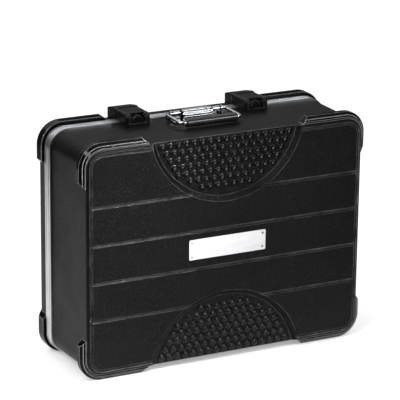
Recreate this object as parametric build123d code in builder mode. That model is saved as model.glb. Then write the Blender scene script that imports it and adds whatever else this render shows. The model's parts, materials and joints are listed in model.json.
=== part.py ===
from build123d import *
from math import atan, cos, degrees, radians, sin, tan
import os

# Hard case for guitar pedals, standing on its hinge side. All sizes in millimetres.
# X is the width, Y runs from the lid's front panel to the base's rear face, Z is up.
# The origin is under the middle of the closed case, on the surface that it stands on.

# ---- shells -------------------------------------------------------------------------
shell_width = 506.0  # outside, at the parting plane
shell_height = 378.0
corner_radius = 30.0
lid_depth = 141.0  # parting plane to front panel
base_depth = 39.7  # parting plane to rear panel
draft_angle = 1.0  # degrees, every side wall leans in towards the panel
shell_wall = 3.2
lid_edge_radius = 5.5
base_edge_radius = 6.0

# raised panel on the front and the rear
panel_inset = 8.2  # panel edge to side wall, at the channel floor
panel_channel_width = 3.0
panel_channel_depth = 1.5
panel_edge_slope = 45.0  # degrees, edge of the raised panel
groove_pitch = 63.0
groove_count = 4
groove_depth = 1.6
groove_top = 2.2  # the profile is steep above and sloped below, measured from its level
groove_floor_top = 1.4
groove_floor_bottom = -0.4
groove_bottom = -2.4

# half-moon recesses in the lid's panel
moon_offset = 217.5  # circle centre above and below the middle of the panel
moon_rim_radius = 141.0
moon_floor_radius = 132.5
moon_depth = 7.5

# ---- valance: the aluminium edge frames ----------------------------------------------
valance_stand = 2.3  # outside the shell
valance_reach = 10.0  # along Y, on each half
valance_inner_lip = 1.8
valance_gap = 0.15  # each half, to the parting plane
shell_edge_setback = 4.0  # shell edge, inside the valance
bead_groove_start = 3.8
bead_groove_width = 2.6
bead_groove_depth = 0.6
tongue_inset = 1.6
tongue_thickness = 1.6
tongue_height = 2.2
tongue_clearance = 0.8  # inside and outside
tongue_end_clearance = 0.6

# ---- corner bumpers ------------------------------------------------------------------
bumper_stand_up = 8.5  # outside the shell at the parting plane, above and below
bumper_stand_across = 7.0  # at the sides
lid_bumper_width = 20.0  # from the edge nearest the parting plane to the panel face
base_bumper_width = 26.7
bumper_edge = 0.8  # sloped edge nearest the parting plane
bumper_slope = 4.5  # slope next to the flat band, both ways
bumper_foot = 2.8  # slope next to the shell, both ways
bumper_step = 0.8  # ledge between the two slopes
lid_bumper_setback = 3.7  # slopes end this far behind the panel face
base_bumper_setback = 1.9
leg_end_across = 150.0  # outer end of the level legs, from the middle
leg_end_up = 135.5  # outer end of the upright legs, from the middle

# ---- hinges --------------------------------------------------------------------------
hinge_spacing = 220.0
hinge_length = 50.0
knuckle_count = 5
knuckle_radius = 2.7
knuckle_gap = 0.4
hinge_drop = 3.0  # pin axis below the valance
hinge_pin_radius = 1.4
hinge_pin_clearance = 0.06
leaf_thickness = 1.5
leaf_reach = 32.0
leaf_joggle = 2.0  # length of the joggle behind the valance
leaf_rivet_pitch = 30.0
leaf_rivet_place = 22.0  # from the parting plane

# ---- rivets --------------------------------------------------------------------------
rivet_radius = 1.6
rivet_head_radius = 3.2
rivet_head_height = 1.3
rivet_tail_gap = 0.3  # tail ends short of the shell's inner face

# ---- latches: heights are above the shell's top wall at the parting plane ----------------
latch_spacing = 218.0
latch_width = 43.6
latch_height = 20.0
latch_front = 36.0  # in front of the parting plane
latch_overhang = 12.0  # cheeks reach over the base's valance
latch_seam = 0.6
latch_rear = 38.0
cheek_thickness = 5.0
cheek_top_radius = 8.0
cheek_front_radius = 4.9
latch_floor = 3.0
latch_floor_rear = 12.0  # floor ends this far in front of the parting plane
latch_lip_height = 4.0
latch_lip_thickness = 2.8
over_valance_clearance = 0.4
lever_side_gap = 0.4
lever_pin_radius = 2.0
lever_pin_clearance = 0.06
lever_pin_cover = 1.2  # wall of the cheek outside the pin
lever_pin_back = 5.0  # behind the parting plane
lever_knuckle_radius = 7.0
lever_plate = 2.4
lever_plate_setback = 0.2
lever_skirt_gap = 0.6  # above the lip
lever_arm_thickness = 2.5
lever_arm_bottom = 10.0
lever_arm_setback = 2.6  # behind the front of the plate
window_half_width = 12.3
window_rear = 24.5  # in front of the parting plane
window_corner = 4.0
nose_half_width = 8.0
nose_reach = 3.0
nose_thickness = 3.0
nose_drop = 1.0  # middle of the nose below the pin
trigger_radius = 11.8
trigger_thickness = 3.0
trigger_setback = 5.2
trigger_bottom = 5.0
trigger_foot = 0.4  # straight part below the half round
trigger_step = 1.3  # inner half round, in front of the outer one
trigger_step_radius = 9.4
trigger_edge = 0.4
stem_half_width = 4.0
stem_height = 4.0
stem_length = 6.0
stem_clearance = 0.08
guide_thickness = 2.0
guide_height = 3.0
guide_gap = 0.6  # between the guides and the pressed trigger
trigger_travel = 3.0
spring_length = 7.3
spring_radius = 1.4
spring_wire = 0.35
spring_pitch = 2.0
spring_post_thickness = 2.0
spring_post_setback = 0.5  # in front of the rear edge of the floor
spring_post_height = 6.0
keeper_mouth_half_width = 11.0
keeper_floor = 3.5
keeper_roof = 4.0
keeper_back = 10.0
keeper_edge_radius = 2.5
keeper_slope_start = 18.0  # behind the parting plane
keeper_rear_drop = 3.6
keeper_skirt = 8.0  # reaches down over the rounded edge of the base
strike_setback = 1.0
strike_thickness = 3.0
strike_gap = 0.7
latch_rivet_place = 20.0  # in front of the parting plane
latch_rivet_half_pitch = 11.0
keeper_rivet_place = 23.0
keeper_rivet_half_pitch = 6.0

# ---- handle: heights are above the shell's top wall at the parting plane -------------------
plate_width = 100.0
plate_rear = 11.0  # in front of the parting plane
plate_front = 52.0
plate_thickness = 1.5
plate_corner = 5.0
plate_rivet_inset = 5.5
handle_pivot_place = 25.0  # in front of the parting plane
handle_pivot_up = 9.6
hump_width = 54.0
hump_up = 6.8  # centre of the arch
hump_radius = 7.0
hump_cheek_radius = 8.6
hump_cheek_thickness = 2.5
hump_side_ribs = 4  # on each side of the rib along the top
hump_rib_pitch = 29.25  # degrees
hump_rib_radius = 1.4
ear_outer = 48.0
ear_thickness = 3.0
ear_radius = 5.0
barrel_inner = 30.0
barrel_radius = 4.4
barrel_gap = 2.0
bail_radius = 2.8
bail_clearance = 0.06
bail_half_width = 54.4
bail_spread = 1.0  # each arm, towards the grip
bail_bend = 6.0
bail_end = 33.0  # inner end of the bail, in the barrel
grip_place = 79.5
grip_up = 7.8
grip_half_length = 46.5
grip_radius = 7.4
grip_edge_radius = 2.0
ferrule_radius = 4.6
ferrule_length = 2.6

# ---- name plate ----------------------------------------------------------------------
name_plate_width = 140.0
name_plate_height = 34.0
name_plate_thickness = 1.2
name_plate_corner = 2.0
name_plate_up = 2.0  # above the middle of the panel
name_rivet_inset = 5.5
name_rivet_radius = 1.9
name_rivet_height = 0.9

# ---- foam ----------------------------------------------------------------------------
foam_gap = 0.3
foam_wall_thickness = 8.0
foam_floor_thickness = 8.0
lid_pad_thickness = 20.0

# ---- places worked out from the sizes --------------------------------------------------
LID = -1
BASE = 1
depths = {LID: lid_depth, BASE: base_depth}
edge_radii = {LID: lid_edge_radius, BASE: base_edge_radius}
bumper_setbacks = {LID: lid_bumper_setback, BASE: base_bumper_setback}
front_reach = lid_depth + name_plate_thickness + name_rivet_height
parting_y = (front_reach - base_depth) / 2
bumper_width = shell_width + 2 * bumper_stand_across
bumper_height = shell_height + 2 * bumper_stand_up
bumper_corner = corner_radius + bumper_stand_up
middle_z = bumper_height / 2
wall_top = middle_z + shell_height / 2
wall_bottom = middle_z - shell_height / 2
hinge_z = wall_bottom - valance_stand - hinge_drop
lever_pin_y = parting_y + lever_pin_back
lever_pin_z = wall_top + latch_height - lever_knuckle_radius
handle_pivot_y = parting_y - handle_pivot_place
handle_pivot_z = wall_top + handle_pivot_up
lean = tan(radians(draft_angle))
corners = {
    "top_left": (-1, 1),
    "top_right": (1, 1),
    "bottom_left": (-1, -1),
    "bottom_right": (1, -1),
}


def half_plane(side, distance):
    """Upright plane at a distance from the parting plane, facing away from it."""
    origin = (0, parting_y + side * distance, middle_z)
    return Plane(origin=origin, x_dir=(-side, 0, 0), z_dir=(0, side, 0))


def drafted_block(side, depth, inset, edge_radius):
    """Solid rounded block from the parting plane to the given depth, sides leaning in."""
    with BuildPart() as block:
        with BuildSketch(half_plane(side, 0)):
            RectangleRounded(shell_width - 2 * inset, shell_height - 2 * inset, corner_radius - inset)
        extrude(amount=depth, taper=draft_angle)
        panel = block.faces().sort_by(Axis.Y)[0 if side == LID else -1]
        fillet(panel.edges(), edge_radius)
    return block.part


def frame_ring(side, start, end, outer_stand, inner_inset):
    """Rounded rectangular ring about the parting edge, between two distances from it."""
    with BuildPart() as ring:
        with BuildSketch(half_plane(side, start)):
            RectangleRounded(
                shell_width + 2 * outer_stand, shell_height + 2 * outer_stand, corner_radius + outer_stand
            )
            RectangleRounded(
                shell_width - 2 * inner_inset,
                shell_height - 2 * inner_inset,
                corner_radius - inner_inset,
                mode=Mode.SUBTRACT,
            )
        extrude(amount=end - start)
    return ring.part


def panel_size(side, inset):
    """Width and height of the panel face, less an inset from the side walls."""
    shrink = 2 * (depths[side] * lean + inset)
    return shell_width - shrink, shell_height - shrink


def panel_channel(side):
    """Narrow channel that runs round the raised panel, whose edge leans in."""
    outer_width, outer_height = panel_size(side, panel_inset - panel_channel_width)
    inner_width, inner_height = panel_size(side, panel_inset)
    inner_corner = corner_radius - depths[side] * lean - panel_inset
    floor = half_plane(side, depths[side] - panel_channel_depth)
    with BuildPart() as channel:
        with BuildSketch(floor):
            RectangleRounded(outer_width, outer_height, inner_corner + panel_channel_width)
        extrude(amount=2 * panel_channel_depth)
        with BuildSketch(floor):
            RectangleRounded(inner_width, inner_height, inner_corner)
        extrude(amount=2 * panel_channel_depth, taper=panel_edge_slope, mode=Mode.SUBTRACT)
    return channel.part


def panel_grooves(side):
    """Shallow level grooves across the panel."""
    width = panel_size(side, panel_inset)[0]
    first = -groove_pitch * (groove_count - 1) / 2
    face_y = parting_y + side * depths[side]
    with BuildPart() as grooves:
        for number in range(groove_count):
            level = middle_z + first + number * groove_pitch
            with BuildSketch(Plane.YZ.offset(-width / 2)):
                with BuildLine():
                    Polyline(
                        (face_y + side, level + groove_top),
                        (face_y, level + groove_top),
                        (face_y - side * groove_depth, level + groove_floor_top),
                        (face_y - side * groove_depth, level + groove_floor_bottom),
                        (face_y, level + groove_bottom),
                        (face_y + side, level + groove_bottom),
                        close=True,
                    )
                make_face()
            extrude(amount=width)
    return grooves.part


def moon_cone(up, grow, depth):
    """Flat cone of a half-moon recess, grown by a wall, from the panel face inwards."""
    floor = half_plane(LID, lid_depth - depth)
    with BuildPart() as cone:
        with BuildSketch(floor):
            with Locations((0, up * moon_offset)):
                Circle(moon_floor_radius + grow)
        slope = degrees(atan((moon_rim_radius - moon_floor_radius) / moon_depth))
        extrude(amount=depth, taper=-slope)
    return cone.part


def make_lid_shell(outer, cuts):
    cavity = drafted_block(LID, lid_depth - shell_wall, shell_wall, lid_edge_radius)
    with BuildPart() as backing:
        for up in (1, -1):
            add(moon_cone(up, shell_wall, moon_depth + shell_wall))
        add(outer, mode=Mode.INTERSECT)
    with BuildPart() as lid_shell:
        add(outer)
        add(cavity, mode=Mode.SUBTRACT)
        add(backing.part)
        for up in (1, -1):
            add(moon_cone(up, 0, moon_depth), mode=Mode.SUBTRACT)
        add(panel_channel(LID), mode=Mode.SUBTRACT)
        add(panel_grooves(LID), mode=Mode.SUBTRACT)
        for cut in cuts:
            add(cut, mode=Mode.SUBTRACT)
        split(bisect_by=half_plane(LID, shell_edge_setback), keep=Keep.TOP)
    return lid_shell.part


def make_base_shell(outer, cuts):
    cavity = drafted_block(BASE, base_depth - shell_wall, shell_wall, base_edge_radius)
    with BuildPart() as base_shell:
        add(outer)
        add(cavity, mode=Mode.SUBTRACT)
        add(panel_channel(BASE), mode=Mode.SUBTRACT)
        add(panel_grooves(BASE), mode=Mode.SUBTRACT)
        for cut in cuts:
            add(cut, mode=Mode.SUBTRACT)
        split(bisect_by=half_plane(BASE, shell_edge_setback), keep=Keep.TOP)
    return base_shell.part


def valance_space(side):
    """The space that one half's valance takes, its gap at the parting plane included."""
    return frame_ring(side, 0, valance_reach, valance_stand, shell_wall + valance_inner_lip)


def make_valance(side, shell):
    """Edge frame of one half, with the shell's edge sunk in its channel."""
    inset = shell_wall + valance_inner_lip
    groove_end = bead_groove_start + bead_groove_width
    groove_floor = valance_stand - bead_groove_depth
    tongue_outer = valance_stand - tongue_inset
    tongue_inner = tongue_thickness - tongue_outer
    with BuildPart() as valance:
        add(frame_ring(side, valance_gap, valance_reach, valance_stand, inset))
        add(frame_ring(side, bead_groove_start, groove_end, 2 * valance_stand, -groove_floor), mode=Mode.SUBTRACT)
        add(shell, mode=Mode.SUBTRACT)
        if side == BASE:
            add(frame_ring(BASE, -tongue_height, 1.0, tongue_outer, tongue_inner))
        else:
            add(
                frame_ring(
                    LID,
                    0,
                    tongue_height + tongue_end_clearance,
                    tongue_outer + tongue_clearance,
                    tongue_inner + tongue_clearance,
                ),
                mode=Mode.SUBTRACT,
            )
    return valance.part


# ---- corner bumpers --------------------------------------------------------------------


def rounded_layer(side, start, length, inset, taper):
    """Layer of the bumpers' outline, from one distance on, leaning in by a taper."""
    with BuildPart() as layer:
        with BuildSketch(half_plane(side, start)):
            RectangleRounded(bumper_width - 2 * inset, bumper_height - 2 * inset, bumper_corner - inset)
        extrude(amount=length, taper=taper)
    return layer.part


def corner_prism(across, up):
    """Prism along Y that keeps one corner, its ends sloped at 45 degrees."""
    out = 5.0
    deep = 40.0
    edge_x = bumper_width / 2
    edge_z = bumper_height / 2
    outline = [
        (leg_end_across - deep, edge_z - deep),
        (leg_end_across + out, edge_z + out),
        (edge_x + out, edge_z + out),
        (edge_x + out, leg_end_up + out),
        (edge_x - deep, leg_end_up - deep),
    ]
    with BuildPart() as prism:
        with BuildSketch(Plane((0, parting_y, middle_z), x_dir=(1, 0, 0), z_dir=(0, -1, 0))):
            with BuildLine():
                Polyline(*[(across * x, up * z) for x, z in outline], close=True)
            make_face()
        extrude(amount=lid_depth, both=True)
    return prism.part


def bumper_band(side, width, outer):
    """Bumpers of one half before they are cut into corners."""
    start = depths[side] - width
    slopes_end = depths[side] - bumper_setbacks[side]
    foot_start = slopes_end - bumper_foot
    flat_start = start + bumper_edge
    flat_end = foot_start - bumper_slope
    with BuildPart() as band:
        add(rounded_layer(side, start, bumper_edge, bumper_edge, -45))
        add(rounded_layer(side, flat_start, flat_end - flat_start, 0, 0))
        add(rounded_layer(side, flat_end, bumper_slope, 0, 45))
        add(rounded_layer(side, foot_start, bumper_foot, bumper_slope + bumper_step, 45))
        add(outer, mode=Mode.SUBTRACT)
    return band.part


def make_bumper(band, across, up):
    with BuildPart() as bumper:
        add(band)
        add(corner_prism(across, up), mode=Mode.INTERSECT)
    return bumper.part


# ---- rivets and small helpers ------------------------------------------------------------


def rivet(shank, head_radius=rivet_head_radius, head_height=rivet_head_height, radius=rivet_radius):
    """Rivet with its head's underside at the origin, head along +Z, shank along -Z."""
    dome_radius = (head_radius**2 + head_height**2) / (2 * head_height)
    with BuildPart() as body:
        with BuildSketch(Plane.XZ):
            with BuildLine():
                Line((0, 0), (head_radius, 0))
                RadiusArc((head_radius, 0), (0, head_height), -dome_radius)
                Line((0, head_height), (0, 0))
            make_face()
        revolve(axis=Axis.Z)
        with BuildSketch(Plane.XY):
            Circle(radius)
        extrude(amount=-shank)
    return body.part


def rivet_set(rivet_part, places):
    """The same rivet at several places."""
    with BuildPart() as rivets:
        with Locations(*places):
            add(rivet_part)
    return rivets.part


def upright_place(x, y, z):
    return Location((x, y, z), (0, 0, 0))


def hanging_place(x, y, z):
    return Location((x, y, z), (180, 0, 0))


def box(x0, x1, y0, y1, z0, z1):
    """Box between two corners, with Y from the parting plane and Z above the top wall."""
    with BuildPart() as block:
        with Locations(((x0 + x1) / 2, parting_y + (y0 + y1) / 2, wall_top + (z0 + z1) / 2)):
            Box(x1 - x0, y1 - y0, z1 - z0)
    return block.part


def rod(radius, x0, x1, y, z):
    """Round bar along X."""
    with BuildPart() as bar:
        with BuildSketch(Plane.YZ.offset(x0)):
            with Locations((y, z)):
                Circle(radius)
        extrude(amount=x1 - x0)
    return bar.part


def side_profile(points, x0, x1):
    """Prism along X; the points are Y from the parting plane and height above the top wall."""
    with BuildPart() as prism:
        with BuildSketch(Plane.YZ.offset(x0)):
            with BuildLine():
                Polyline(*[(parting_y + y, wall_top + z) for y, z in points], close=True)
            make_face()
        extrude(amount=x1 - x0)
    return prism.part


# ---- hinges ----------------------------------------------------------------------------


def knuckle_spans(side):
    """X ranges of one leaf's knuckles: the base has the outer ones."""
    pitch = hinge_length / knuckle_count
    first = 0 if side == BASE else 1
    spans = []
    for number in range(first, knuckle_count, 2):
        start = -hinge_length / 2 + number * pitch
        spans.append((start + knuckle_gap / 2, start + pitch - knuckle_gap / 2))
    return spans


def make_leaf(side, outer):
    """Hinge leaf: a plate under the valance, stepped up to the shell, with its knuckles."""
    valance_bottom = wall_bottom - valance_stand
    half = hinge_length / 2
    joggle_start = valance_reach + 0.5
    profile = [
        (0, valance_bottom - leaf_thickness),
        (joggle_start, valance_bottom - leaf_thickness),
        (joggle_start + leaf_joggle, wall_bottom - leaf_thickness),
        (leaf_reach, wall_bottom - leaf_thickness),
        (leaf_reach, wall_bottom + leaf_thickness),
        (0, wall_bottom + leaf_thickness),
    ]
    bore = hinge_pin_radius + (hinge_pin_clearance if side == LID else 0)
    other = knuckle_radius + knuckle_gap
    with BuildPart() as leaf:
        with BuildSketch(Plane.YZ.offset(-half)):
            with BuildLine():
                Polyline(*[(parting_y + side * y, z) for y, z in profile], close=True)
            make_face()
        extrude(amount=hinge_length)
        add(parting_gap(), mode=Mode.SUBTRACT)
        add(outer, mode=Mode.SUBTRACT)
        add(valance_space(side), mode=Mode.SUBTRACT)
        for start, end in knuckle_spans(-side):
            room_start = start - knuckle_gap
            room_end = end + knuckle_gap
            add(rod(other, room_start, room_end, parting_y, hinge_z), mode=Mode.SUBTRACT)
        for start, end in knuckle_spans(side):
            add(rod(knuckle_radius, start, end, parting_y, hinge_z))
        add(rod(bore, -half, half, parting_y, hinge_z), mode=Mode.SUBTRACT)
    return leaf.part


def parting_gap():
    """Gap between the two leaves' plates at the parting plane."""
    with BuildPart() as gap:
        with Locations((0, parting_y, wall_bottom + leaf_thickness)):
            Box(2 * hinge_length, 2 * valance_gap, 4 * leaf_thickness)
    return gap.part


def leaf_rivet_places(side):
    seat = wall_bottom - leaf_thickness
    places = []
    for hinge in (-1, 1):
        for end in (-1, 1):
            x = hinge * hinge_spacing / 2 + end * leaf_rivet_pitch / 2
            places.append(hanging_place(x, parting_y + side * leaf_rivet_place, seat))
    return places


# ---- latches ---------------------------------------------------------------------------


def make_latch_housing(outer):
    """Floor, lip and two cheeks, with the guides and the post of the trigger."""
    half = latch_width / 2
    inner = half - cheek_thickness
    guide_inner = stem_half_width + stem_clearance
    guide_front = latch_front - trigger_setback - trigger_thickness - trigger_travel - guide_gap
    post_rear = latch_floor_rear + spring_post_setback
    bore_half = half - lever_pin_cover
    with BuildPart() as housing:
        add(box(-half, half, -latch_front, latch_overhang, -3, latch_height))
        front_edges = housing.edges().filter_by(Axis.X).sort_by(Axis.Y)[:2].sort_by(Axis.Z)[-1:]
        fillet(front_edges, cheek_top_radius)
        fillet(housing.edges().filter_by(Axis.Z).sort_by(Axis.Y)[:2], cheek_front_radius)
        add(
            box(-inner, inner, -latch_front + latch_lip_thickness, latch_overhang, latch_floor, latch_height),
            mode=Mode.SUBTRACT,
        )
        add(box(-inner, inner, -latch_front, 0, latch_lip_height, latch_height), mode=Mode.SUBTRACT)
        add(box(-inner, inner, -latch_floor_rear, latch_overhang, -3, latch_height), mode=Mode.SUBTRACT)
        for end in (-1, 1):
            with Locations((end * (guide_inner + guide_thickness / 2), 0, 0)):
                add(
                    box(
                        -guide_thickness / 2,
                        guide_thickness / 2,
                        -guide_front,
                        -post_rear,
                        latch_floor,
                        latch_floor + guide_height,
                    )
                )
        add(
            box(
                -guide_inner,
                guide_inner,
                -post_rear - spring_post_thickness,
                -post_rear,
                latch_floor,
                latch_floor + spring_post_height,
            )
        )
        overhang_floor = valance_stand + over_valance_clearance
        add(box(-half, half, -valance_gap, latch_overhang, -3, overhang_floor), mode=Mode.SUBTRACT)
        add(rod(lever_pin_radius, -bore_half, bore_half, lever_pin_y, lever_pin_z), mode=Mode.SUBTRACT)
        add(outer, mode=Mode.SUBTRACT)
        add(valance_space(LID), mode=Mode.SUBTRACT)
    return housing.part


def lever_section():
    """Side view of the lever's plate and skirt: flat on top, rounded down at the front."""
    front = lever_plate_setback - latch_front
    bend_y = parting_y + front + cheek_top_radius
    bend_z = wall_top + latch_height - cheek_top_radius
    bottom = wall_top + latch_lip_height + lever_skirt_gap
    inner_radius = cheek_top_radius - lever_plate
    diagonal = 2**-0.5
    with BuildLine() as outline:
        Line((lever_pin_y, wall_top + latch_height), (bend_y, wall_top + latch_height))
        ThreePointArc(
            (bend_y, bend_z + cheek_top_radius),
            (bend_y - cheek_top_radius * diagonal, bend_z + cheek_top_radius * diagonal),
            (bend_y - cheek_top_radius, bend_z),
        )
        Line((bend_y - cheek_top_radius, bend_z), (bend_y - cheek_top_radius, bottom))
        Line((bend_y - cheek_top_radius, bottom), (bend_y - inner_radius, bottom))
        Line((bend_y - inner_radius, bottom), (bend_y - inner_radius, bend_z))
        ThreePointArc(
            (bend_y - inner_radius, bend_z),
            (bend_y - inner_radius * diagonal, bend_z + inner_radius * diagonal),
            (bend_y, bend_z + inner_radius),
        )
        Line((bend_y, bend_z + inner_radius), (lever_pin_y, bend_z + inner_radius))
        Line((lever_pin_y, bend_z + inner_radius), (lever_pin_y, wall_top + latch_height))
    return outline.line


def lever_window():
    """Opening for the trigger, from the front through the plate, with rounded rear corners."""
    with BuildPart() as window:
        add(box(-window_half_width, window_half_width, -latch_front - 1, -window_rear, 0, latch_height + 1))
        fillet(window.edges().filter_by(Axis.Z).group_by(Axis.Y)[-1], window_corner)
    return window.part


def make_latch_lever():
    """Lifting cover: plate with two rounded prongs, side arms, knuckle and nose."""
    half = latch_width / 2 - cheek_thickness - lever_side_gap
    under = latch_height - lever_plate
    nose_middle = latch_height - lever_knuckle_radius - nose_drop
    nose_rear = lever_pin_back + lever_knuckle_radius + nose_reach
    arm_front = lever_arm_setback - latch_front
    arm_overlap = lever_plate / 2
    with BuildPart() as lever:
        with BuildSketch(Plane.YZ.offset(-half)):
            add(lever_section())
            make_face()
        extrude(amount=2 * half)
        add(lever_window(), mode=Mode.SUBTRACT)
        for end in (-1, 1):
            inner = half - lever_arm_thickness
            x0 = min(end * half, end * inner)
            x1 = max(end * half, end * inner)
            add(box(x0, x1, arm_front, lever_pin_back, lever_arm_bottom, under - cheek_top_radius + lever_plate))
            add(box(x0, x1, -window_rear, lever_pin_back, lever_arm_bottom, under + arm_overlap))
        add(rod(lever_knuckle_radius, -half, half, lever_pin_y, lever_pin_z))
        add(
            box(
                -nose_half_width,
                nose_half_width,
                lever_pin_back,
                nose_rear,
                nose_middle - nose_thickness / 2,
                nose_middle + nose_thickness / 2,
            )
        )
        add(rod(lever_pin_radius + lever_pin_clearance, -half, half, lever_pin_y, lever_pin_z), mode=Mode.SUBTRACT)
    return lever.part


def half_round(radius, start, length):
    """Half disc on a short foot, standing at a distance in front of the parting plane."""
    top_of_foot = trigger_bottom + trigger_foot
    with BuildPart() as disc:
        with BuildSketch(Plane((0, parting_y - start, wall_top), x_dir=(1, 0, 0), z_dir=(0, 1, 0))):
            with Locations((0, -top_of_foot)):
                Circle(radius)
            with Locations((0, radius - top_of_foot)):
                Rectangle(3 * radius, 2 * radius, mode=Mode.SUBTRACT)
            with Locations((0, -(trigger_bottom + top_of_foot) / 2)):
                Rectangle(2 * radius, trigger_foot)
        extrude(amount=length)
        chamfer(disc.edges().group_by(Axis.Y)[0], trigger_edge)
    return disc.part


def make_latch_trigger():
    """Stepped half-round thumb tab with a stem that slides in the housing's guides."""
    front = latch_front - trigger_setback
    stem_bottom = latch_floor + stem_clearance
    stem_start = trigger_thickness - front
    web_top = trigger_bottom + stem_half_width
    with BuildPart() as trigger:
        add(half_round(trigger_radius, front, trigger_thickness))
        add(half_round(trigger_step_radius, front + trigger_step, trigger_step + trigger_thickness / 2))
        add(box(-stem_half_width, stem_half_width, stem_start - 1, stem_start, stem_bottom, web_top))
        add(
            box(
                -stem_half_width,
                stem_half_width,
                stem_start - trigger_thickness / 2,
                stem_start + stem_length,
                stem_bottom,
                stem_bottom + stem_height,
            )
        )
    return trigger.part


def make_trigger_spring():
    """Coil between the trigger's stem and the housing's post."""
    start_y = parting_y - latch_front + trigger_setback + trigger_thickness + stem_length
    axis_z = wall_top + latch_floor + stem_clearance + stem_height / 2
    origin = (0, start_y + spring_wire, axis_z)
    with BuildPart() as spring:
        with BuildLine():
            coil = Helix(
                pitch=spring_pitch,
                height=spring_length - 2 * spring_wire,
                radius=spring_radius,
                center=origin,
                direction=(0, 1, 0),
            )
        with BuildSketch(Plane(origin=coil @ 0, z_dir=coil % 0)):
            Circle(spring_wire)
        sweep()
    return spring.part


def make_latch_keeper(outer):
    """Block on the base with the mouth that takes the lever's nose, its top sloping back."""
    half = latch_width / 2
    rear_top = latch_height - keeper_rear_drop
    front = latch_overhang + latch_seam
    roof = latch_height - keeper_roof
    strike_front = front + strike_setback
    nose_top = latch_height - lever_knuckle_radius - nose_drop + nose_thickness / 2
    with BuildPart() as keeper:
        add(
            side_profile(
                [
                    (front, -keeper_skirt),
                    (front, latch_height),
                    (keeper_slope_start, latch_height),
                    (latch_rear, rear_top),
                    (latch_rear, -keeper_skirt),
                ],
                -half,
                half,
            )
        )
        fillet(keeper.edges().filter_by(Axis.X).group_by(Axis.Y)[-1].sort_by(Axis.Z)[-1:], keeper_edge_radius)
        fillet(keeper.edges().filter_by(Axis.Z).group_by(Axis.Y)[-1], keeper_edge_radius)
        add(
            box(
                -keeper_mouth_half_width,
                keeper_mouth_half_width,
                front - 1,
                latch_rear - keeper_back,
                keeper_floor,
                roof,
            ),
            mode=Mode.SUBTRACT,
        )
        add(
            box(
                -keeper_mouth_half_width,
                keeper_mouth_half_width,
                strike_front,
                strike_front + strike_thickness,
                nose_top + strike_gap,
                roof + 0.5,
            )
        )
        add(outer, mode=Mode.SUBTRACT)
    return keeper.part


def latch_rivet_places(half_pitch, place, height):
    places = []
    for latch in (-1, 1):
        for end in (-1, 1):
            x = latch * latch_spacing / 2 + end * half_pitch
            places.append(upright_place(x, parting_y + place, wall_top + height))
    return places


# ---- handle ----------------------------------------------------------------------------


def make_handle_plate(outer):
    """Plate with the two upright ears."""
    depth = plate_front - plate_rear
    ear_bottom = plate_thickness
    with BuildPart() as plate:
        with BuildSketch(Plane.XY.offset(wall_top - 3)):
            with Locations((0, parting_y - (plate_front + plate_rear) / 2)):
                RectangleRounded(plate_width, depth, plate_corner)
        extrude(amount=3 + plate_thickness)
        for end in (-1, 1):
            start = end * ear_outer if end < 0 else ear_outer - ear_thickness
            add(
                box(
                    start,
                    start + ear_thickness,
                    -handle_pivot_place - ear_radius,
                    -handle_pivot_place + ear_radius,
                    ear_bottom,
                    handle_pivot_up,
                )
            )
            add(rod(ear_radius, start, start + ear_thickness, handle_pivot_y, handle_pivot_z))
        bore = bail_radius + bail_clearance
        add(rod(bore, -ear_outer, ear_outer, handle_pivot_y, handle_pivot_z), mode=Mode.SUBTRACT)
        add(outer, mode=Mode.SUBTRACT)
    return plate.part


def hump_arch(radius, x0, x1):
    """Upright block with a half-round top, on the handle's plate."""
    with BuildPart() as arch:
        add(
            box(
                x0,
                x1,
                -handle_pivot_place - radius,
                -handle_pivot_place + radius,
                plate_thickness,
                hump_up,
            )
        )
        add(rod(radius, x0, x1, handle_pivot_y, wall_top + hump_up))
        add(
            box(
                x0,
                x1,
                -handle_pivot_place - radius,
                -handle_pivot_place + radius,
                hump_up - radius - 1,
                plate_thickness,
            ),
            mode=Mode.SUBTRACT,
        )
    return arch.part


def hump_rib_place(number):
    """Middle of a rib: round the arch, then down its straight side."""
    turn = radians(number * hump_rib_pitch)
    y = hump_radius * sin(turn)
    up = hump_radius * cos(turn)
    beyond = abs(turn) - radians(90)
    if beyond > 0:
        y = hump_radius if number > 0 else -hump_radius
        up = -hump_radius * beyond
    return handle_pivot_y + y, wall_top + hump_up + up


def make_handle_hump():
    """Ribbed arch between the barrels, with a plain cheek at each end."""
    half = hump_width / 2
    with BuildPart() as hump:
        add(hump_arch(hump_radius, -half, half))
        for number in range(-hump_side_ribs, hump_side_ribs + 1):
            y, z = hump_rib_place(number)
            add(rod(hump_rib_radius, -half, half, y, z))
        for start in (-half, half - hump_cheek_thickness):
            add(hump_arch(hump_cheek_radius, start, start + hump_cheek_thickness))
    return hump.part


def make_handle_barrel(end):
    """Short barrel on its pedestal, that holds one end of the bail."""
    outer_end = ear_outer - ear_thickness - barrel_gap
    x0 = min(end * barrel_inner, end * outer_end)
    x1 = max(end * barrel_inner, end * outer_end)
    with BuildPart() as barrel:
        add(
            box(
                x0,
                x1,
                -handle_pivot_place - barrel_radius,
                -handle_pivot_place + barrel_radius,
                plate_thickness,
                handle_pivot_up,
            )
        )
        add(rod(barrel_radius, x0, x1, handle_pivot_y, handle_pivot_z))
        add(rod(bail_radius + bail_clearance, x0, x1, handle_pivot_y, handle_pivot_z), mode=Mode.SUBTRACT)
    return barrel.part


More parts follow.
